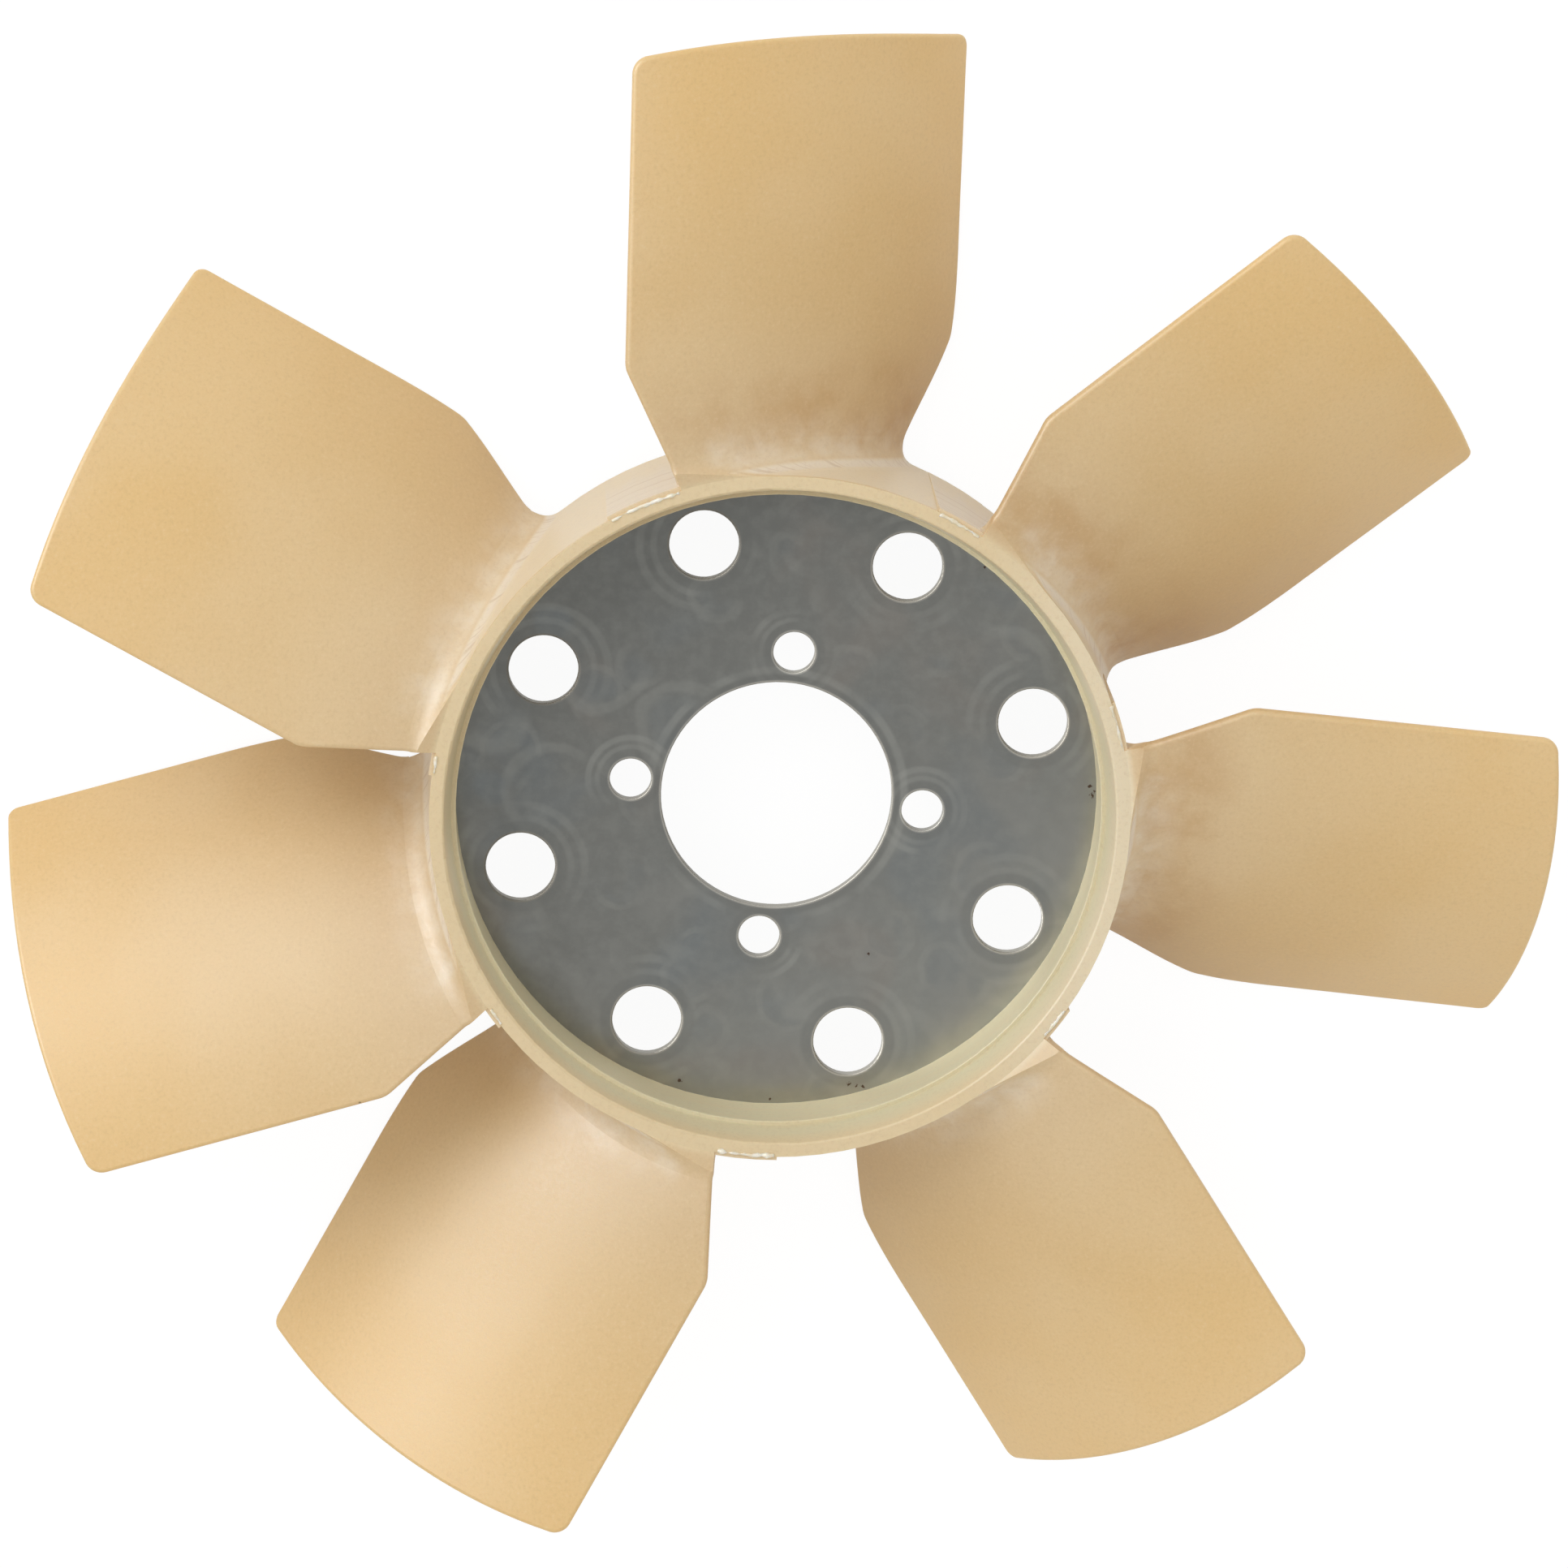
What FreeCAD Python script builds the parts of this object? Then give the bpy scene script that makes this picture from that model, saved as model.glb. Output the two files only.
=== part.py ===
import FreeCAD, Part
import math
import os
from FreeCAD import Vector

os.makedirs("parts", exist_ok=True)

# Axial fan impeller: a seven-blade nylon moulding cast round a flat steel hub plate.
# Millimetres. The shaft axis is Z, the inlet side faces +Z, and the origin is the
# centre of the pilot bore on the plate's front face. Blade 1 points along +Y.
# A blade's own frame has x out along the blade, y towards its leading edge, z to the front.

# Hub ring of the moulding, with a stepped inner wall in front of the plate. The inner
# radii are the outer one less the wall's thickness at each level
ring_outer_radius = 97.7
ring_front_z = 29.2
ring_back_z = -24.5
rim_width = 3.9
ledge_wall = 6.2
plate_wall = 7.4
back_wall = 6.3
rim_inner_radius = ring_outer_radius - rim_width
ledge_outer_radius = ring_outer_radius - ledge_wall
wall_inner_radius = ring_outer_radius - plate_wall
back_inner_radius = ring_outer_radius - back_wall
ledge_drop = 10.6
ledge_z = ring_front_z - ledge_drop
rim_edge_round = 0.8
ledge_edge_round = 0.4

# Blades: unequal spacing, in degrees clockwise from each blade to the next
first_blade_azimuth = 90.0
blade_steps = (51.1, 43.9, 52.0, 60.1, 45.9, 45.0)
tip_radius = 217.8
seat_depth = 4.7

# Blade sections at three stations along x, from which the cambered sheet is lofted: in the
# ring's wall, at the shoulder where the neck ends, and level with the corners of the tip
tip_corner_inset = 4.8
neck_length = 34.0
root_station = ring_outer_radius - seat_depth
shoulder_station = root_station + neck_length
tip_station = tip_radius - tip_corner_inset
root_chord = 79.6
outer_chord = 113.2
root_pitch = 40.4
shoulder_pitch = 33.9
tip_pitch = 32.9
root_mid_height = 2.6
shoulder_mid_height = -0.4
tip_mid_height = -1.3
root_camber = 8.5
shoulder_camber = 12.5
tip_camber = 13.1
root_thickness = 3.6
tip_thickness = 2.8
bend_spread = 16.0
trailing_inset = 2.4
shoulder_round = 8.0
leading_tip_round = 5.0
trailing_tip_round = 3.5
edge_round = 1.1
root_fillet = 8.0

# The leading edge runs sharp into the ring: the fillet's flare beyond it is cut away
notch_play = 0.3
notch_reach = 10.0
notch_height = 14.0
notch_run = 18.0

# Lands where the root fillets are cut nearly level with the ring's two faces,
# from just outside the ring's wall
land_start = 0.3
land_width = 6.0
front_land_rise = 2.4
back_land_drop = 2.8

# Shut-off pads on the ring's outer wall, from each leading edge to these angles
# past the blade's own azimuth, proud at the front and almost level at the back
pad_front_height = 1.0
pad_back_height = 0.1
pad_depth = 0.5
pad_end_play = 0.4
pad_start_angle = 16.0
pad_end_angles = (31.0, 26.5, 26.4, 24.4, 28.5, 22.0, 22.0)

# Steel hub plate, held by its rim in a groove of the ring
plate_thickness = 3.0
groove_wall = 3.3
plate_rim_play = 0.1
plate_radius = ring_outer_radius - groove_wall - plate_rim_play
pilot_bore_radius = 32.55
bolt_edge_distance = 8.85
bolt_circle_radius = pilot_bore_radius + bolt_edge_distance
bolt_hole_radius = 5.85
bolt_hole_count = 4
first_bolt_azimuth = 85.1
port_edge_distance = 19.3
port_circle_radius = plate_radius - port_edge_distance
port_radius = 9.8
port_count = 8
first_port_azimuth = 107.6
hole_edge_round = 0.3

# Overlaps of the cutting solids past what they cut, none of which sets a size
clear = 40.0
side_margin = 5.0
station_margin = 10.0
tolerance = 0.01
station_count = 10
loft_degree = 3

origin = Vector(0, 0, 0)
front = Vector(0, 0, 1)


def between(x, root, shoulder, tip):
    # A blade quantity at station x: straight from root to shoulder and on to the tip,
    # with the corner at the shoulder eased into a parabola over the bend's spread
    inner = (shoulder - root) / (shoulder_station - root_station)
    outer = (tip - shoulder) / (tip_station - shoulder_station)
    past = x - shoulder_station
    if past <= -bend_spread:
        return shoulder + inner * past
    if past >= bend_spread:
        return shoulder + outer * past
    return shoulder + inner * past + (outer - inner) * (past + bend_spread) ** 2 / (4 * bend_spread)


class Section:
    # The blade's section at station x: a concentric-arc strip on a pitched chord

    def __init__(self, x, chord, pitch, mid_height, camber, thickness):
        self.half_chord = chord / 2
        self.pitch = math.radians(pitch)
        self.camber = camber
        self.thickness = thickness
        self.radius = (self.half_chord ** 2 + self.camber ** 2) / (2 * self.camber)
        self.half_angle = math.asin(self.half_chord / self.radius)
        self.along = Vector(0, math.cos(self.pitch), math.sin(self.pitch))
        self.across = Vector(0, -math.sin(self.pitch), math.cos(self.pitch))
        middle = Vector(x, 0, mid_height)
        self.centre = middle - self.across * (self.radius - self.camber)

    def point(self, angle, radius):
        turned = self.across * math.cos(angle) + self.along * math.sin(angle)
        return self.centre + turned * radius

    def leading_point(self):
        return self.point(self.half_angle, self.radius)

    def trailing_point(self):
        return self.point(trailing_inset / self.radius - self.half_angle, self.radius)

    def leading_slope(self):
        return self.pitch - self.half_angle

    def trailing_slope(self):
        return self.pitch + self.half_angle

    def strip(self):
        # Closed outline, wider than the blade by the side margin at both edges
        reach = self.half_angle + side_margin / self.radius
        outer = self.radius + self.thickness / 2
        inner = self.radius - self.thickness / 2
        outer_start = self.point(-reach, outer)
        outer_end = self.point(reach, outer)
        inner_start = self.point(-reach, inner)
        inner_end = self.point(reach, inner)
        suction = Part.Arc(outer_start, self.point(0, outer), outer_end).toShape()
        lead = Part.makeLine(outer_end, inner_end)
        pressure = Part.Arc(inner_end, self.point(0, inner), inner_start).toShape()
        trail = Part.makeLine(inner_start, outer_start)
        return Part.Wire([suction, lead, pressure, trail])


def section_at(x):
    chord = between(x, root_chord, outer_chord, outer_chord)
    pitch = between(x, root_pitch, shoulder_pitch, tip_pitch)
    mid_height = between(x, root_mid_height, shoulder_mid_height, tip_mid_height)
    camber = between(x, root_camber, shoulder_camber, tip_camber)
    thickness = between(x, root_thickness, root_thickness, tip_thickness)
    return Section(x, chord, pitch, mid_height, camber, thickness)


def corner_sections():
    # The three stations where the planform's edges start, turn and end
    return [
        Section(root_station, root_chord, root_pitch, root_mid_height, root_camber, root_thickness),
        Section(
            shoulder_station,
            outer_chord,
            shoulder_pitch,
            shoulder_mid_height,
            shoulder_camber,
            root_thickness,
        ),
        Section(tip_station, outer_chord, tip_pitch, tip_mid_height, tip_camber, tip_thickness),
    ]


def tube(outer_radius, inner_radius, bottom, top):
    # The seam is turned to -X, clear of a blade that lies along +X
    base = Vector(0, 0, bottom)
    outer = Part.makeCylinder(outer_radius, top - bottom, base, front)
    shell = outer.cut(Part.makeCylinder(inner_radius, top - bottom, base, front))
    shell.rotate(Vector(0, 0, 0), front, 180)
    return shell


def revolved(outline):
    # Solid of revolution about Z from (radius, height) corners
    corners = [Vector(-radius, 0, height) for radius, height in outline]
    face = Part.Face(Part.makePolygon(corners + corners[:1]))
    return face.revolve(Vector(0, 0, 0), front, 360)


def edge_waste(edge_points, slope, side):
    # Everything beyond one long edge of the blade, cut square to the sheet there
    outward = Vector(0, math.cos(slope), math.sin(slope)) * side
    square = Vector(0, -math.sin(slope), math.cos(slope))
    inner, shoulder, tip = [Vector(p.x, 0, 0) + outward * p.dot(outward) for p in edge_points]
    inner = inner + (inner - shoulder)
    tip = tip + (tip - shoulder)
    corners = [inner, shoulder, tip, tip + outward * clear, inner + outward * clear]
    face = Part.Face(Part.makePolygon(corners + corners[:1]))
    face.translate(square * -clear * 2)
    return face.extrude(square * clear * 4)


def root_notch():
    # What the root fillet leaves standing beyond the leading edge, which runs sharp into the ring
    corners = corner_sections()
    start = corners[0].leading_point()
    end = corners[1].leading_point()
    slope = corners[1].leading_slope()
    outward = Vector(0, math.cos(slope), math.sin(slope))
    square = Vector(0, -math.sin(slope), math.cos(slope))
    run = (end - start) * notch_run / (end - start).Length
    first = start - run * 0.5 + outward * notch_play
    last = start + run + outward * notch_play
    points = [first, last, last + outward * notch_reach, first + outward * notch_reach]
    face = Part.Face(Part.makePolygon(points + points[:1]))
    face.translate(square * -notch_height)
    block = face.extrude(square * notch_height * 2)
    core = Part.makeCylinder(ring_outer_radius, 4 * clear, Vector(0, 0, -2 * clear), front)
    return block.cut(core)


def middle_of(edge):
    return edge.valueAt((edge.FirstParameter + edge.LastParameter) / 2)


def ends_of(edge):
    return [edge.valueAt(edge.FirstParameter), edge.valueAt(edge.LastParameter)]


def radius_of(point):
    return math.hypot(point.x, point.y)


def corner_edges(shape, points):
    # Short edges across the sheet, each at one corner of the planform
    short = [edge for edge in shape.Edges if edge.Length < 2 * root_thickness]
    return [e for e in short if min(middle_of(e).distanceToPoint(p) for p in points) < side_margin]


def rim_edges(shape):
    # The edges round the sheet's two large faces, apart from its root end in the ring
    faces = sorted(shape.Faces, key=lambda face: face.Area)[-2:]
    seat_limit = root_station + edge_round
    edges = [edge for face in faces for edge in face.Edges]
    return [e for e in edges if max(radius_of(p) for p in ends_of(e)) > seat_limit]


def sheet():
    # The cambered sheet before trimming, lofted through evenly spaced stations
    first = root_station - station_margin
    spacing = (tip_station + station_margin - first) / (station_count - 1)
    strips = [section_at(first + spacing * i).strip() for i in range(station_count)]
    return Part.makeLoft(strips, True, False, False, loft_degree)


def blade():
    # One blade along +X: the sheet trimmed to its planform, all edges rounded
    corners = corner_sections()
    leading = [section.leading_point() for section in corners]
    trailing = [section.trailing_point() for section in corners]
    trimmed = sheet().cut(edge_waste(leading, corners[1].leading_slope(), 1))
    trimmed = trimmed.cut(edge_waste(trailing, corners[1].trailing_slope(), -1))
    trimmed = trimmed.common(tube(tip_radius, root_station, -2 * clear, 2 * clear)).Solids[0]
    rounded = trimmed.makeFillet(shoulder_round, corner_edges(trimmed, [leading[1], trailing[1]]))
    rounded = rounded.makeFillet(leading_tip_round, corner_edges(rounded, [leading[2]]))
    rounded = rounded.makeFillet(trailing_tip_round, corner_edges(rounded, [trailing[2]]))
    return rounded.makeFillet(edge_round, rim_edges(rounded))


def blade_azimuths():
    azimuths = [first_blade_azimuth]
    for step in blade_steps:
        azimuths.append(azimuths[-1] - step)
    return azimuths


def turned(shape, azimuth):
    copy = shape.copy()
    copy.rotate(origin, front, azimuth)
    return copy


def root_edges(shape):
    # Edges where the blades leave the core's round wall
    def on_wall(edge):
        points = ends_of(edge) + [middle_of(edge)]
        level = all(abs(p.z) < 2 * clear - side_margin for p in points)
        return level and all(abs(radius_of(p) - ring_outer_radius) < tolerance for p in points)

    seam_length = 3 * clear
    return [edge for edge in shape.Edges if on_wall(edge) and edge.Length < seam_length]


def face_waste(face_z, land_shift, side):
    # What stands past one face of the ring, out to the end of the lands on the blades
    land_end = ring_outer_radius + land_width
    far = face_z + side * 2 * clear
    return revolved([
        (0, face_z),
        (ring_outer_radius + land_start, face_z),
        (land_end, face_z + side * land_shift),
        (land_end, far),
        (0, far),
    ])


def hollow():
    # Front recess with its ledge, plate groove and rear recess, as one solid to cut
    groove_radius = plate_radius + plate_rim_play
    return revolved([
        (0, ring_back_z - clear),
        (back_inner_radius, ring_back_z - clear),
        (back_inner_radius, ring_back_z),
        (wall_inner_radius, -plate_thickness),
        (groove_radius, -plate_thickness),
        (groove_radius, 0),
        (wall_inner_radius, 0),
        (wall_inner_radius, ledge_z),
        (ledge_outer_radius, ledge_z),
        (rim_inner_radius, ring_front_z),
        (rim_inner_radius, ring_front_z + clear),
        (0, ring_front_z + clear),
    ])


def pad(blade_azimuth, end_angle):
    # One shut-off pad: a thin arc of wall from ahead of the leading edge to its end angle
    bottom = ring_back_z + pad_end_play
    top = ring_front_z - pad_end_play
    corners = [
        Vector(ring_outer_radius - pad_depth, 0, bottom),
        Vector(ring_outer_radius + pad_back_height, 0, bottom),
        Vector(ring_outer_radius + pad_front_height, 0, top),
        Vector(ring_outer_radius - pad_depth, 0, top),
    ]
    face = Part.Face(Part.makePolygon(corners + corners[:1]))
    arc = face.revolve(origin, front, end_angle - pad_start_angle)
    return turned(arc, blade_azimuth + pad_start_angle)


def circles_at(shape, radius, height):
    # Full-circle edges about Z with this radius and height
    found = []
    for edge in shape.Edges:
        level = all(abs(p.z - height) < tolerance for p in ends_of(edge) + [middle_of(edge)])
        if level and all(abs(radius_of(p) - radius) < tolerance for p in ends_of(edge) + [middle_of(edge)]):
            found.append(edge)
    return found


def moulded_fan():
    core = Part.makeCylinder(ring_outer_radius, 4 * clear, Vector(0, 0, -2 * clear), front)
    one = blade()
    azimuths = blade_azimuths()
    body = core.fuse([turned(one, azimuth) for azimuth in azimuths]).Solids[0]
    body = body.makeFillet(root_fillet, root_edges(body))
    body = body.cut([turned(root_notch(), azimuth) for azimuth in azimuths]).Solids[0]
    body = body.fuse([pad(azimuth, end) for azimuth, end in zip(azimuths, pad_end_angles)])
    body = body.cut(face_waste(ring_front_z, front_land_rise, 1))
    body = body.cut(face_waste(ring_back_z, -back_land_drop, -1))
    body = body.cut(hollow()).Solids[0]
    rims = circles_at(body, rim_inner_radius, ring_front_z)
    rims += circles_at(body, back_inner_radius, ring_back_z)
    body = body.makeFillet(rim_edge_round, rims)
    return body.makeFillet(ledge_edge_round, circles_at(body, wall_inner_radius, ledge_z))


def holes(count, circle_radius, hole_radius, first_azimuth):
    base = Vector(circle_radius, 0, -plate_thickness)
    hole = Part.makeCylinder(hole_radius, plate_thickness, base, front)
    return [turned(hole, first_azimuth + 360.0 * i / count) for i in range(count)]


def hub_plate():
    base = Vector(0, 0, -plate_thickness)
    disc = Part.makeCylinder(plate_radius, plate_thickness, base, front)
    disc = disc.cut(Part.makeCylinder(pilot_bore_radius, plate_thickness, base, front))
    disc = disc.cut(holes(bolt_hole_count, bolt_circle_radius, bolt_hole_radius, first_bolt_azimuth))
    disc = disc.cut(holes(port_count, port_circle_radius, port_radius, first_port_azimuth)).Solids[0]
    circles = [edge for edge in disc.Edges if abs(middle_of(edge).z) < tolerance]
    mouths = sorted(circles, key=lambda edge: edge.Length)[:-1]
    return disc.makeFillet(hole_edge_round, mouths)


def write(name, shape):
    shape.exportStep("parts/" + name + ".step")
    print(name, "solids", len(shape.Solids), "faces", len(shape.Faces), "volume", round(shape.Volume))


write("moulded_fan", moulded_fan())
write("hub_plate", hub_plate())
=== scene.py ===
import math

import bpy
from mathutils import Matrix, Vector


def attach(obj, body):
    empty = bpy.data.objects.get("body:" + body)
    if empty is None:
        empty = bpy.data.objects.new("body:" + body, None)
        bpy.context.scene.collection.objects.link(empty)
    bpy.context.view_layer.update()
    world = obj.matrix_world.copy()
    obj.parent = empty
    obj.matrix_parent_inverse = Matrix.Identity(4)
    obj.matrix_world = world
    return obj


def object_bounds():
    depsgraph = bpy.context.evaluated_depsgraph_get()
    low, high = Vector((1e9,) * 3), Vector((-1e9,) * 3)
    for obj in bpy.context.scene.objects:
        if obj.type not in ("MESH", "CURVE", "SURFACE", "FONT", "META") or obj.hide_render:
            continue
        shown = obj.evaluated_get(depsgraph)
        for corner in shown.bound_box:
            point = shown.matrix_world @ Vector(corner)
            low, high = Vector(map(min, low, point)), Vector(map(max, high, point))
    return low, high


# Axial fan impeller: a natural nylon moulding round a zinc-plated hub plate.
# Metres, same axes as the solids: shaft along Z, inlet side up, first blade along +Y.

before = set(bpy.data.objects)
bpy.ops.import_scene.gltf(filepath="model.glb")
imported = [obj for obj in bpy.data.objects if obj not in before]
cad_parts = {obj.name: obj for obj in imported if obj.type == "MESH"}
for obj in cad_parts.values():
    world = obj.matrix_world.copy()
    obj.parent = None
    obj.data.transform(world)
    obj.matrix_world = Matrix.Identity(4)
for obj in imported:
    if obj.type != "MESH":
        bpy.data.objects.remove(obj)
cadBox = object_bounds()
bpy.ops.object.select_all(action="DESELECT")
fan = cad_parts["moulded_fan"]
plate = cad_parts["hub_plate"]
print("frame loaded")


def linear(hexColour):
    channels = [int(hexColour[i:i + 2], 16) / 255 for i in (1, 3, 5)]
    light = [c / 12.92 if c <= 0.04045 else ((c + 0.055) / 1.055) ** 2.4 for c in channels]
    return (*light, 1.0)


def addNode(tree, kind, inputs=None, out=0, **settings):
    # inputs hold values or sockets to link; what comes back is the output that is used
    node = tree.nodes.new("ShaderNode" + kind)
    for name, value in settings.items():
        setattr(node, name, value)
    for key, value in (inputs or {}).items():
        if isinstance(value, bpy.types.NodeSocket):
            tree.links.new(value, node.inputs[key])
        else:
            node.inputs[key].default_value = value
    return node.outputs[out] if node.outputs else None


def newMaterial(name):
    material = bpy.data.materials.new(name)
    material.use_nodes = True
    material.node_tree.nodes.clear()
    return material, material.node_tree


def perMetre(millimetres):  # texture scale whose pattern repeats about every so many mm
    return 1000 / millimetres


def fade(tree, *factors):
    # Factors multiply. One written (value, low, high) goes smoothly from 0 at low to 1 at high,
    # and (value, low, high, start, end) goes from start to end.
    product = None
    for factor in factors:
        if isinstance(factor, tuple):
            factor = addNode(tree, "MapRange", dict(enumerate(factor)), interpolation_type="SMOOTHSTEP")
        if product is not None:
            factor = addNode(tree, "Math", {0: product, 1: factor}, operation="MULTIPLY")
        product = factor
    return product


def ringLine(tree, distance, at, width):  # 1 on a thin line at that distance, 0 off it
    off = addNode(tree, "Math", {0: distance, 1: at}, operation="SUBTRACT")
    gap = addNode(tree, "Math", {0: off}, operation="ABSOLUTE")
    return fade(tree, (gap, width, width * 0.3))


def layered(tree, base, layers):  # each colour lies over those before it as far as its mask lets it
    colour = linear(base)
    for mask, shade in layers:
        colour = addNode(tree, "Mix", {0: mask, 6: colour, 7: linear(shade)}, out=2, data_type="RGBA")
    return colour


def surfaceFrame(tree):  # where the point is, how far from the shaft's axis, and its X, Y and Z
    where = addNode(tree, "TexCoord", out="Object")
    flat = addNode(tree, "VectorMath", {0: where, 1: (1, 1, 0)}, operation="MULTIPLY")
    radius = addNode(tree, "VectorMath", {0: flat}, out="Value", operation="LENGTH")
    axes = {letter: addNode(tree, "SeparateXYZ", {0: where}, out=letter) for letter in "XYZ"}
    return where, radius, axes


def dress(piece, material):
    piece.data.materials.clear()
    piece.data.materials.append(material)


# The moulding: natural glass-filled nylon, unpainted
nylon = {
    "sheet": "#DDBC86",      # wide faces of the blades
    "tip": "#E8C384",        # a little more honey towards the tips
    "root": "#DABE92",       # pinker where the melt came in
    "rim": "#E5D0A6",
    "rimPale": "#EDE2C8",    # the ring's paler side
    "wall": "#DCD2AE",       # inner wall, slightly green
    # painted shade on the inner wall's side turned from the lamp
    "wallShade": "#BFA272",
    "haze": "#EFE2CC",       # pale bloom in the root fillets
    "rootShade": "#C79E68",      # painted shade in the hollows of the roots, warm brown
    "wallOut": "#ECDCC0",    # outer wall of the ring, pale and a little pink
    "ridge": "#DFC088",      # edge along the wall's top, deeper yellow: painted shade under the rim's front edge
    "pad": "#EBDDC8",        # faces of the shut-off pads, the palest and pinkest
    "speckDark": "#B79468",
    "speckPale": "#EFD9B2",
    "dirt": "#6B5335",
    "grainSize": 1.1,        # mm; the fibre grain is finer, and is drawn this coarse to show
    "cloudSize": 70.0,
    "hazeSize": 7.0,
    "rootShadeSize": 24.0,
    "bandSize": 5.0,
    "scoreSize": 3.2,
    "dirtSize": 38.0,
    "roughness": 0.5,
    "ringRadius": 0.0977,    # outer wall
    "ringFront": 0.0292,
    # zones, in metres from the shaft's axis: where each look begins and where it is full
    "tipZone": (0.13, 0.215),
    "rootZone": (0.150, 0.102),
    "rootShadeZone": (0.136, 0.112),
    "hazeZone": (0.116, 0.102),
    "wallZone": (0.0938, 0.0920),
    # directions across the part, and how far bands and scores are drawn out along the ring
    "rootShadeSide": (0.8, 0.6, 0),
    "wallShadeSide": (-0.62, 0.78, 0),
    "bandStretch": (0.12, 0.12, 1.6),
    "scoreStretch": (0.015, 0.015, 1.0),
}


def nylonMaterial():
    # Natural nylon 6 with glass fibre, injection moulded: satin, warm cream, slightly see-through,
    # with a fine fibre grain and a pale bloom where the flow met the ring
    material, tree = newMaterial("naturalNylonMoulded")
    where, radius, axes = surfaceFrame(tree)
    wall, front = nylon["ringRadius"], nylon["ringFront"]

    # blades: honey outwards, pinker inwards, with wide soft clouds
    outward = fade(tree, (radius, *nylon["tipZone"]))
    nearRoot = fade(tree, (radius, *nylon["rootZone"]))
    cloud = addNode(tree, "TexNoise", {
        "Vector": where, "Scale": perMetre(nylon["cloudSize"]), "Detail": 2.0})
    cloudy = fade(tree, (cloud, 0.35, 0.7, 0.0, 0.25))

    # painted shade: browner hollows beside the roots, speckled at their edges, most of them round the
    # second blade
    hollow = addNode(tree, "TexNoise", {
        "Vector": where, "Scale": perMetre(nylon["rootShadeSize"]), "Detail": 5.0, "Roughness": 0.6})
    beside = addNode(tree, "VectorMath", {0: where, 1: nylon["rootShadeSide"]}, out="Value",
                     operation="DOT_PRODUCT")
    rootShade = fade(tree, (radius, wall + 0.0003, wall + 0.0063), (radius, *nylon["rootShadeZone"]),
                 (hollow, 0.40, 0.66, 0.12, 0.46), (beside, 0.0, 0.09, 0.25, 1.5))

    # bloom: soft pale patches from the ring's wall out over the fillets
    streak = addNode(tree, "TexNoise", {
        "Vector": where, "Scale": perMetre(nylon["hazeSize"]), "Detail": 3.0,
        "Roughness": 0.55, "Distortion": 0.3})
    bloom = fade(tree, (radius, wall + 0.0008, wall + 0.0033), (radius, *nylon["hazeZone"]),
                 (axes["Z"], front + 0.0002, front - 0.0022), (streak, 0.32, 0.72, 0.16, 0.56))

    # ring: yellower rim, paler on one side, and a dull inner wall with faint bands round it, with
    # painted shade that makes it browner on the other side
    rim = fade(tree, (radius, wall + 0.0023, wall - 0.0002, 0.0, 0.8))
    paler = fade(tree, rim, (axes["X"], 0.05, 0.09, 0.0, 0.6))
    along = addNode(tree, "VectorMath", {0: where, 1: nylon["bandStretch"]}, operation="MULTIPLY")
    bands = addNode(tree, "TexNoise", {
        "Vector": along, "Scale": perMetre(nylon["bandSize"]), "Detail": 3.0})
    inner = fade(tree, (radius, *nylon["wallZone"]), (bands, 0.3, 0.7, 0.7, 1.0))
    across = addNode(tree, "VectorMath", {0: where, 1: nylon["wallShadeSide"]}, out="Value",
                     operation="DOT_PRODUCT")
    dull = fade(tree, inner, (across, 0.02, 0.09, 0.0, 0.7))

    # outer wall and pads: paler, with score lines along them and a deeper yellow top edge of painted shade
    outside = fade(tree, (radius, wall - 0.0003, wall - 0.0001), (radius, wall + 0.0023, wall + 0.0012),
                   (axes["Z"], front - 0.00005, front - 0.0002))
    proud = fade(tree, outside, (radius, wall + 0.0002, wall + 0.0005, 0.0, 0.8))
    stretched = addNode(tree, "VectorMath", {0: where, 1: nylon["scoreStretch"]}, operation="MULTIPLY")
    scores = addNode(tree, "TexNoise", {
        "Vector": stretched, "Scale": perMetre(nylon["scoreSize"]), "Detail": 1.0})
    scored = fade(tree, ringLine(tree, scores, 0.56, 0.035), proud, 0.36)
    topEdgeShade = fade(tree, outside, (axes["Z"], front - 0.0024, front - 0.0010, 0.0, 0.55))

    # fibre grain and a few dirt specks
    grain = addNode(tree, "TexNoise", {
        "Vector": where, "Scale": perMetre(nylon["grainSize"]), "Detail": 4.0, "Roughness": 0.7})
    specks = addNode(tree, "TexVoronoi", {"Vector": where, "Scale": perMetre(nylon["dirtSize"])})

    colour = layered(tree, nylon["sheet"], (
        (outward, nylon["tip"]),
        (nearRoot, nylon["root"]),
        (cloudy, nylon["speckPale"]),
        (rootShade, nylon["rootShade"]),
        (bloom, nylon["haze"]),
        (rim, nylon["rim"]),
        (paler, nylon["rimPale"]),
        (inner, nylon["wall"]),
        (dull, nylon["wallShade"]),
        (fade(tree, outside, 0.85), nylon["wallOut"]),
        (proud, nylon["pad"]),
        (scored, nylon["speckDark"]),
        (topEdgeShade, nylon["ridge"]),
        (fade(tree, (grain, 0.52, 0.30, 0.0, 0.15)), nylon["speckDark"]),
        (fade(tree, (grain, 0.52, 0.74, 0.0, 0.22)), nylon["speckPale"]),
        (fade(tree, (specks, 0.014, 0.007, 0.0, 0.7)), nylon["dirt"]),
    ))
    shader = addNode(tree, "BsdfPrincipled", {
        "Base Color": colour,
        "Normal": addNode(tree, "Bump", {"Strength": 0.25, "Distance": 0.00012, "Height": grain}),
        "Roughness": fade(tree, (grain, 0.3, 0.7, nylon["roughness"] - 0.05, nylon["roughness"] + 0.07)),
        "IOR": 1.53,
        "Subsurface Weight": 0.12,
        "Subsurface Radius": (1.0, 0.62, 0.32),
        "Subsurface Scale": 0.003,
    })
    addNode(tree, "OutputMaterial", {"Surface": shader})
    return material


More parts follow.
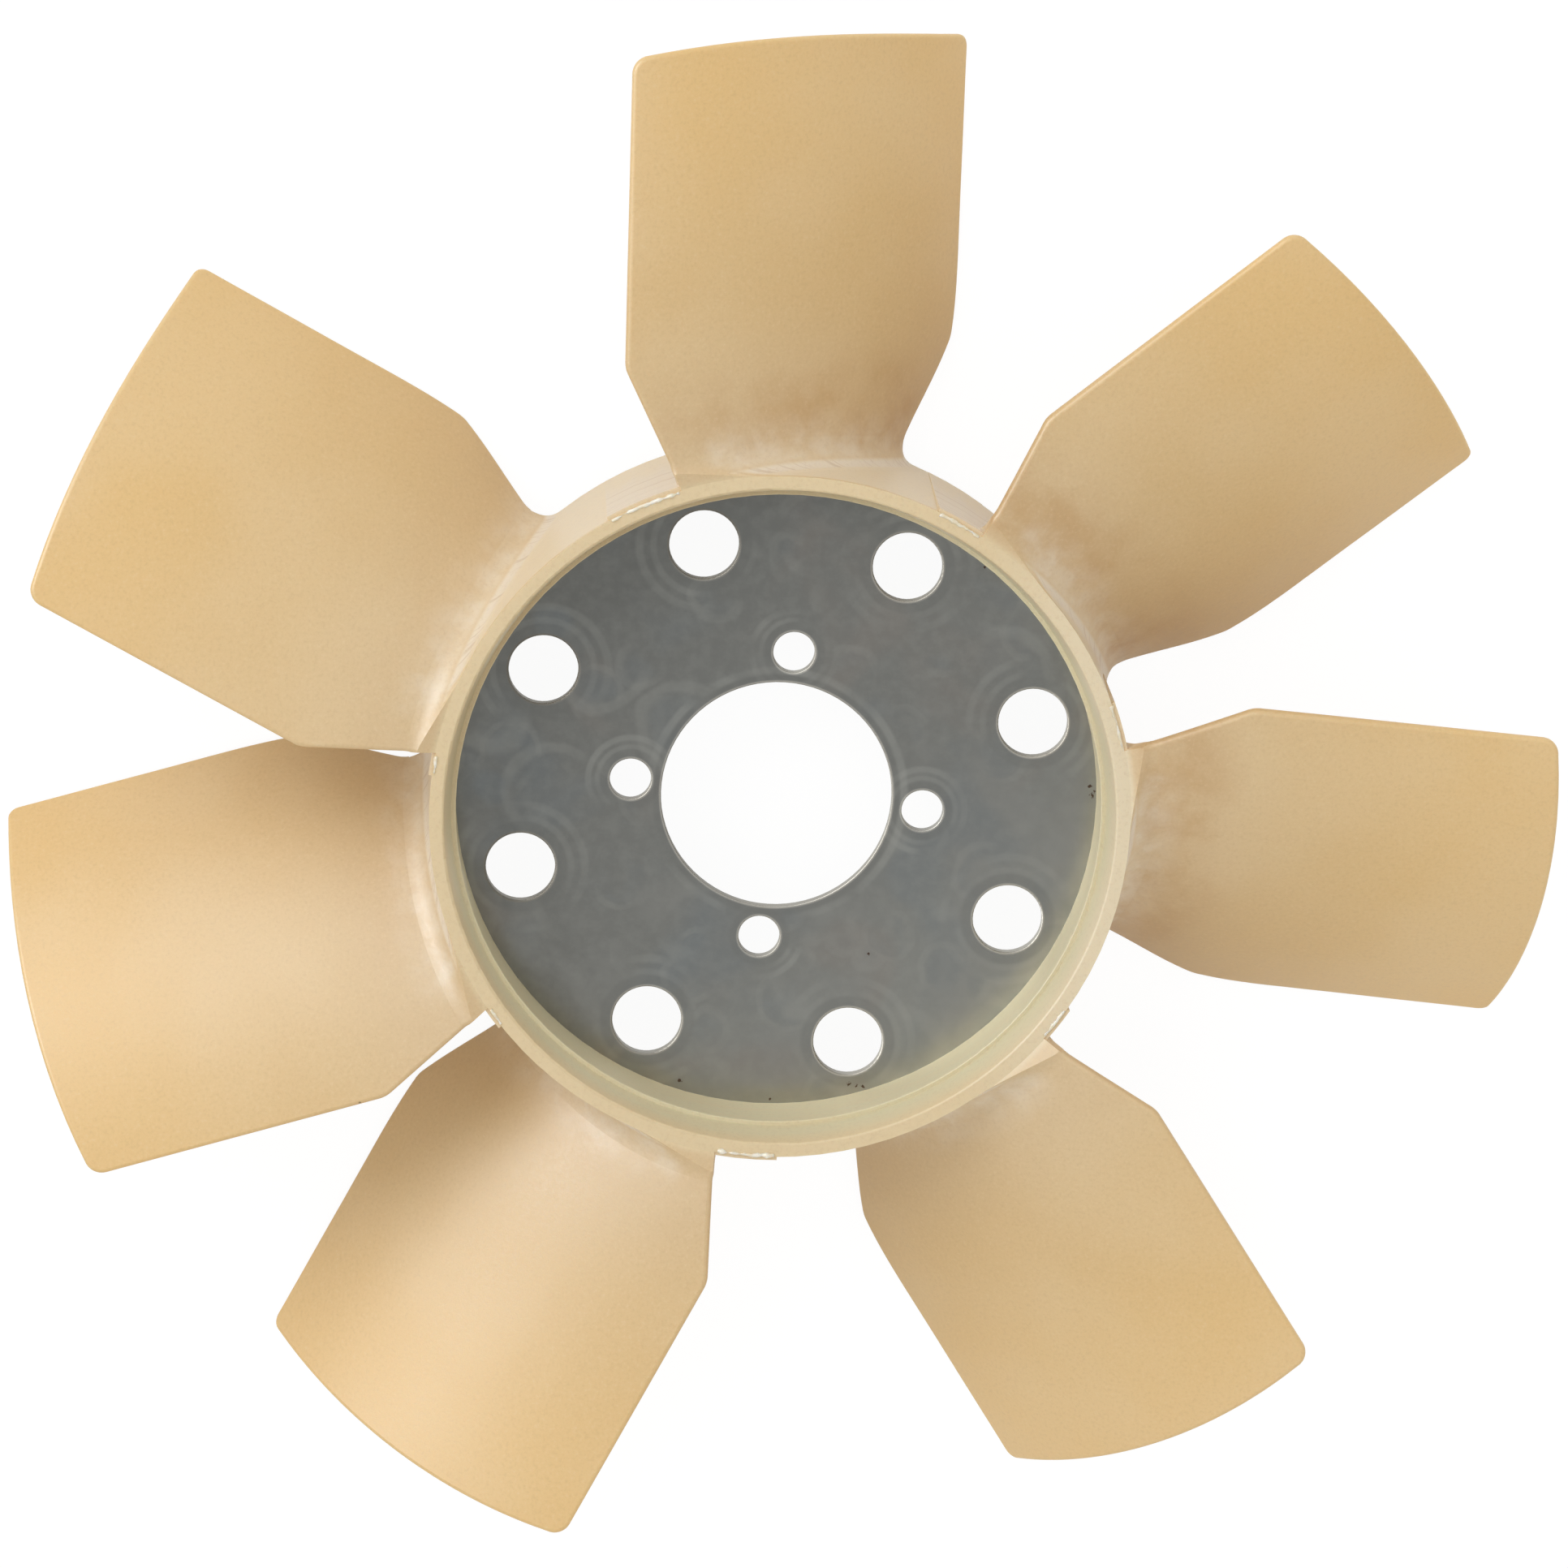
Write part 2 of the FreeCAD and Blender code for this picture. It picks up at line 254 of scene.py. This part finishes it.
# The hub plate: blanked from sheet, zinc plated, never polished
steel = {
    "base": "#A0A09B",
    "dark": "#8A8B87",
    "pale": "#C5C6BF",
    "blue": "#90979A",
    "brown": "#A59C93",
    "burnished": "#B8B1A6",
    "rust": "#4E3322",
    "roughness": 0.33,
    "stainSize": 34.0,       # mm, as the other sizes
    "tintSize": 48.0,
    "tintAside": (0.03, 0.01, 0.0),              # metres; moves the tint off the stains
    "warpSize": 16.0,
    "warpReach": (0.005, 0.005, 0.005),
    # drying marks: size in mm, reach as a share of it, strength
    "dryingMarks": ((19.0, 0.42, 0.13), (34.2, 0.38, 0.20)),
    "spotSize": 44.0,
    "mottleSize": 4.0,
    "wearSize": 26.0,
    "crumbSize": 0.9,
    # direction of the painted reflection: lighter this way, darker the other
    "paintedReflectionSide": (0.62, -0.78, 0),
    # holes: metres, and how many degrees round the first one is
    "pilotRadius": 0.03255,
    "ports": {"circle": 0.075, "radius": 0.0098, "count": 8, "first": 107.6},
    "bolts": {"circle": 0.0414, "radius": 0.00585, "count": 4, "first": 85.1},
    # press marks: reach as a share of the hole's radius, width in metres, strength
    "portMarks": ((1.45, 0.0014, 0.15), (1.85, 0.0017, 0.18)),
    "boltMarks": ((1.60, 0.0010, 0.20), (2.05, 0.0013, 0.28)),
    "pilotMarks": ((1.105, 0.0017, 0.34),),
    "pressedEdge": 0.0016,
    "mouthEdge": (0.0009, 0.0003),   # out from the hole: where the burnished line ends, and is full
    "mouthRoughness": 0.9,
    # rust specks: degrees round, metres from the axis, metres wide
    "specks": (
        (-106.3, 0.0879, 0.0006), (-89.3, 0.0890, 0.0004), (-74.4, 0.0874, 0.0006), (-73.1, 0.0884, 0.0004),
        (-72.1, 0.0890, 0.0006), (-58.8, 0.0534, 0.0005), (1.4, 0.0891, 0.0007), (2.2, 0.0896, 0.0004),
        (3.0, 0.0884, 0.0006), (50.1, 0.0875, 0.0004), (69.0, 0.0873, 0.0004),
    ),
}


def distanceToHole(tree, holes, radius, axes):  # from the point to the middle of the nearest of the holes
    halfStep = math.pi / holes["count"]
    angle = addNode(tree, "Math", {0: axes["Y"], 1: axes["X"]}, operation="ARCTAN2")
    fromFirst = addNode(tree, "Math", {0: angle, 1: math.radians(holes["first"])}, operation="SUBTRACT")
    off = addNode(tree, "Math", {0: fromFirst, 1: halfStep, 2: -halfStep}, operation="WRAP")
    sine = addNode(tree, "Math", {0: off}, operation="SINE")
    cosine = addNode(tree, "Math", {0: off}, operation="COSINE")
    across = addNode(tree, "Math", {0: radius, 1: sine}, operation="MULTIPLY")
    along = addNode(tree, "Math", {0: radius, 1: cosine, 2: -holes["circle"]}, operation="MULTIPLY_ADD")
    square = addNode(tree, "Math", {0: across, 1: across}, operation="MULTIPLY")
    squares = addNode(tree, "Math", {0: along, 1: along, 2: square}, operation="MULTIPLY_ADD")
    return addNode(tree, "Math", {0: squares}, operation="SQRT")


def steelMaterial():
    # Zinc-plated sheet steel, stamped: dull grey metal with cloudy stains, drying rings and
    # faint press marks round each hole, and a few rust specks where the rim meets the nylon
    material, tree = newMaterial("zincPlatedSheetSteel")
    where, radius, axes = surfaceFrame(tree)
    stain = addNode(tree, "TexNoise", {
        "Vector": where, "Scale": perMetre(steel["stainSize"]), "Detail": 3.0, "Distortion": 1.2})
    layers = [(fade(tree, (stain, 0.38, 0.66, 0.35, 1.0)), steel["base"])]

    # painted reflection: the plating is drawn darker on one side and lighter across from it
    paintedReflection = addNode(tree, "VectorMath", {0: where, 1: steel["paintedReflectionSide"]}, out="Value",
                    operation="DOT_PRODUCT")
    layers.append((fade(tree, (paintedReflection, 0.01, -0.09, 0.0, 0.9)), steel["dark"]))
    layers.append((fade(tree, (paintedReflection, 0.0, 0.09, 0.0, 0.35)), steel["pale"]))
    moved = addNode(tree, "VectorMath", {0: where, 1: steel["tintAside"]}, operation="ADD")
    tint = addNode(tree, "TexNoise", {
        "Vector": moved, "Scale": perMetre(steel["tintSize"]), "Detail": 2.0, "Distortion": 0.8})
    layers.append((fade(tree, (tint, 0.52, 0.70, 0.0, 0.4)), steel["blue"]))
    layers.append((fade(tree, (tint, 0.46, 0.30, 0.0, 0.4)), steel["brown"]))

    # drying marks: soft round outlines of two sizes, warped a little and broken up
    warp = addNode(tree, "TexNoise", {"Vector": where, "Scale": perMetre(steel["warpSize"]), "Detail": 2.0},
                   out="Color")
    bent = addNode(tree, "VectorMath", {0: warp, 1: steel["warpReach"], 2: where}, operation="MULTIPLY_ADD")
    for size, at, strength in steel["dryingMarks"]:
        cells = addNode(tree, "TexVoronoi", {"Vector": bent, "Scale": perMetre(size)})
        patches = addNode(tree, "TexNoise", {"Vector": where, "Scale": perMetre(size), "Detail": 2.0})
        broken = fade(tree, (patches, 0.44, 0.60))
        layers.append((fade(tree, ringLine(tree, cells, at, 0.07), broken, strength), steel["pale"]))
        layers.append((fade(tree, (cells, at, at - 0.12, 0.0, 0.22), broken), steel["blue"]))

    # a few round dark spots and a fine mottle
    spots = addNode(tree, "TexVoronoi", {"Vector": bent, "Scale": perMetre(steel["spotSize"])})
    layers.append((fade(tree, (spots, 0.17, 0.11, 0.0, 0.45)), steel["blue"]))
    mottle = addNode(tree, "TexNoise", {
        "Vector": where, "Scale": perMetre(steel["mottleSize"]), "Detail": 5.0, "Roughness": 0.6})
    layers.append((fade(tree, (mottle, 0.35, 0.7, 0.0, 0.12)), steel["pale"]))

    # press marks round the holes and a burnished, rougher line at each mouth
    wear = addNode(tree, "TexNoise", {"Vector": where, "Scale": perMetre(steel["wearSize"]), "Detail": 2.0})
    worn = fade(tree, (wear, 0.42, 0.6))
    toPort = distanceToHole(tree, steel["ports"], radius, axes)
    toBolt = distanceToHole(tree, steel["bolts"], radius, axes)
    mouths = 0.0  # grows to the highest of the mouths' masks
    for distance, size, marks in ((toPort, steel["ports"]["radius"], steel["portMarks"]),
                                  (toBolt, steel["bolts"]["radius"], steel["boltMarks"]),
                                  (radius, steel["pilotRadius"], steel["pilotMarks"])):
        edge = size * marks[0][0]
        pressed = fade(tree, (distance, edge, edge - steel["pressedEdge"], 0.0, 0.28))
        layers.append((pressed, steel["dark"]))
        for share, width, strength in marks:
            line = ringLine(tree, distance, size * share, width)
            layers.append((fade(tree, line, worn, strength), steel["pale"]))
        ends, full = steel["mouthEdge"]
        mouth = fade(tree, (distance, size + ends, size + full, 0.0, 0.35))
        layers.append((mouth, steel["burnished"]))
        mouths = addNode(tree, "Math", {0: mouths, 1: mouth}, operation="MAXIMUM")

    # rust specks, most of them near the rim
    crumb = addNode(tree, "TexNoise", {
        "Vector": where, "Scale": perMetre(steel["crumbSize"]), "Detail": 2.0})
    for degrees, reach, size in steel["specks"]:
        turn = math.radians(degrees)
        centre = (reach * math.cos(turn), reach * math.sin(turn), 0)
        away = addNode(tree, "VectorMath", {0: where, 1: centre}, out="Value", operation="DISTANCE")
        ragged = fade(tree, away, (crumb, 0.35, 0.65, 0.6, 1.7))
        layers.append((fade(tree, (ragged, size, size * 0.55, 0.0, 0.85)), steel["rust"]))

    satin = fade(tree, (stain, 0.35, 0.65, steel["roughness"] + 0.04, steel["roughness"] - 0.04))
    shader = addNode(tree, "BsdfPrincipled", {
        "Base Color": layered(tree, steel["dark"], layers),
        "Normal": addNode(tree, "Bump", {"Strength": 0.15, "Distance": 0.0001, "Height": mottle}),
        "Metallic": 1.0,
        "Roughness": addNode(tree, "Math", {0: mouths, 1: steel["mouthRoughness"], 2: satin},
                             operation="MULTIPLY_ADD"),
    })
    addNode(tree, "OutputMaterial", {"Surface": shader})
    return material


dress(fan, nylonMaterial())
dress(plate, steelMaterial())
print("materials on the solids")

# Flash: a thin ragged ridge of nylon left along each pad, on the outer edge of the ring's front
flash = {
    "ringRadius": 0.0973,
    "ringFront": 0.0292,
    "thickness": 0.0010,
    "sides": 8,
    "ragged": 0.0016,            # how far the torn edge wanders
    "raggedSize": 0.0022,
    "raggedOctaves": 2,
    "raggedLevel": 0.55,
    # degrees: where each blade is, and where its ridge starts and ends past that
    "blades": (90.0, 38.9, -5.0, -57.0, -117.1, -163.0, -208.0),
    "from": 18.6,
    "to": (30.6, 26.0, 26.0, 24.0, 28.0, 21.6, 21.6),
    "step": 0.25,
    "pale": "#F8EFDD",
    "deep": "#F0E0C2",
    "patchSize": 3.0,
}


def flashMaterial():
    # The same nylon torn thin: whiter, and lets more light through
    material, tree = newMaterial("tornNylonEdge")
    where = addNode(tree, "TexCoord", out="Object")
    patches = addNode(tree, "TexNoise", {
        "Vector": where, "Scale": perMetre(flash["patchSize"]), "Detail": 2.0})
    patchy = fade(tree, (patches, 0.4, 0.6))
    shader = addNode(tree, "BsdfPrincipled", {
        "Base Color": layered(tree, flash["pale"], [(patchy, flash["deep"])]),
        "Roughness": 0.42,
        "IOR": 1.53,
        "Subsurface Weight": 0.3,
        "Subsurface Radius": (1.0, 0.7, 0.4),
        "Subsurface Scale": 0.002,
    })
    addNode(tree, "OutputMaterial", {"Surface": shader})
    return material


def flashRidge(blade, end, texture):
    start = math.radians(blade + flash["from"])
    sweep = math.radians(end - flash["from"])
    reach = flash["ringRadius"]
    place = (reach * math.cos(start), reach * math.sin(start), flash["ringFront"])
    bpy.ops.mesh.primitive_circle_add(
        vertices=flash["sides"], radius=flash["thickness"] / 2, fill_type="NGON",
        location=place, rotation=(math.pi / 2, 0, start))
    ridge = bpy.context.object
    bpy.ops.object.transform_apply(location=True, rotation=True, scale=True)
    bpy.ops.object.mode_set(mode="EDIT")
    bpy.ops.mesh.select_all(action="SELECT")
    bpy.ops.mesh.spin(steps=round((end - flash["from"]) / flash["step"]), angle=-sweep,
                      center=(0, 0, 0), axis=(0, 0, 1))
    bpy.ops.mesh.select_all(action="SELECT")
    bpy.ops.mesh.normals_make_consistent(inside=False)
    bpy.ops.object.mode_set(mode="OBJECT")
    torn = ridge.modifiers.new("ragged", "DISPLACE")
    torn.texture = texture
    torn.texture_coords = "LOCAL"
    torn.strength = flash["ragged"]
    torn.mid_level = flash["raggedLevel"]
    bpy.ops.object.modifier_apply(modifier="ragged")
    bpy.ops.object.shade_smooth()
    return ridge


def makeFlash():
    texture = bpy.data.textures.new("raggedEdge", "CLOUDS")
    texture.noise_scale = flash["raggedSize"]
    texture.noise_depth = flash["raggedOctaves"]
    ridges = [flashRidge(blade, end, texture) for blade, end in zip(flash["blades"], flash["to"])]
    bpy.ops.object.select_all(action="DESELECT")
    for ridge in ridges:
        ridge.select_set(True)
    bpy.context.view_layer.objects.active = ridges[0]
    bpy.ops.object.join()
    mouldFlash = bpy.context.object
    mouldFlash.name = "mouldFlash"
    dress(mouldFlash, flashMaterial())
    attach(mouldFlash, "root")


makeFlash()
print("flash along the pads")

# Studio: white floor and walls to the camera, with soft light from the upper left
studio = {
    "floorSide": 8.0,
    "floorGap": 0.0002,      # under the part
    "floorPaper": "#F4F4F2",
    "floorGlow": 1.06,
    "floorShare": 0.88,      # how much of the floor the camera sees as plain white
    "lampPlace": (-1.4, 1.6, 1.7),
    "lampSide": 1.8,
    "lampPower": 18.0,
    "sheenPlace": (-2.05, 1.0, 1.6),
    "sheenSide": 1.7,
    "sheenPower": 132.0,
    "sky": "#FFFFFF",
    "skyLight": 0.775,
    "roomMirrored": 0.47,    # how bright the room is in the plate's dull mirror
}


def floorMaterial():
    # Matt white paper: reads as white to the camera and in gloss, and keeps a soft shadow
    material, tree = newMaterial("mattWhitePaper")
    camera = addNode(tree, "LightPath", out="Is Camera Ray")
    glossy = addNode(tree, "LightPath", out="Is Glossy Ray")
    through = addNode(tree, "LightPath", out="Is Transmission Ray")
    seen = addNode(tree, "Math", {0: camera, 1: glossy}, operation="MAXIMUM")
    white = addNode(tree, "Math", {0: seen, 1: through}, operation="MAXIMUM")
    paper = addNode(tree, "BsdfDiffuse", {"Color": linear(studio["floorPaper"])})
    glow = addNode(tree, "Emission", {"Color": linear(studio["sky"]), "Strength": studio["floorGlow"]})
    both = addNode(tree, "MixShader", {0: fade(tree, white, studio["floorShare"]), 1: paper, 2: glow})
    addNode(tree, "OutputMaterial", {"Surface": both})
    return material


def softLamp(name, place, side, power):
    bpy.ops.object.light_add(type="AREA", location=place)
    lamp = bpy.context.object
    lamp.name = name
    lamp.data.shape = "DISK"
    lamp.data.size = side
    lamp.data.energy = power
    lamp.rotation_euler = (-Vector(place)).to_track_quat("-Z", "Y").to_euler()
    return lamp


def makeStudio():
    floorHeight = cadBox[0].z - studio["floorGap"]
    bpy.ops.mesh.primitive_plane_add(size=studio["floorSide"], location=(0, 0, floorHeight))
    floor = bpy.context.object
    floor.name = "floor"
    dress(floor, floorMaterial())
    softLamp("keyLamp", studio["lampPlace"], studio["lampSide"], studio["lampPower"])
    # a second, low lamp that shows only as a sheen on the blades turned to the upper left
    sheenLamp = softLamp("sheenLamp", studio["sheenPlace"], studio["sheenSide"], studio["sheenPower"])
    sheenLamp.visible_diffuse = False
    sheenLamp.visible_transmission = False


def makeSky():  # white to the camera, softer as light, and dimmer still in the plate's mirror
    world = bpy.data.worlds.new("studioWhite")
    bpy.context.scene.world = world
    world.use_nodes = True
    tree = world.node_tree
    tree.nodes.clear()
    camera = addNode(tree, "LightPath", out="Is Camera Ray")
    glossy = addNode(tree, "LightPath", out="Is Glossy Ray")
    mirrored = addNode(tree, "MapRange", {0: glossy, 3: studio["skyLight"], 4: studio["roomMirrored"]})
    level = addNode(tree, "MapRange", {0: camera, 3: mirrored, 4: 1.0})
    sky = addNode(tree, "Background", {"Color": linear(studio["sky"]), "Strength": level})
    addNode(tree, "OutputWorld", {"Surface": sky})


# Camera: placed and turned so that the hub and every tip fall where the photograph has them
view = {
    "place": (-0.10394, 0.58414, 2.36499),
    "turn": (-13.8681, -2.0779, 1.9798),   # degrees, XYZ
    "lens": 198.73,
    "sensor": 36.0,
    "clipEnd": 20.0,
}


def makeCamera():
    bpy.ops.object.camera_add(location=view["place"], rotation=[math.radians(a) for a in view["turn"]])
    camera = bpy.context.object
    camera.data.lens = view["lens"]
    camera.data.sensor_width = view["sensor"]
    camera.data.clip_end = view["clipEnd"]
    bpy.context.scene.camera = camera


makeStudio()
makeSky()
makeCamera()
bpy.context.scene.view_settings.view_transform = "Standard"
print("studio and camera set")
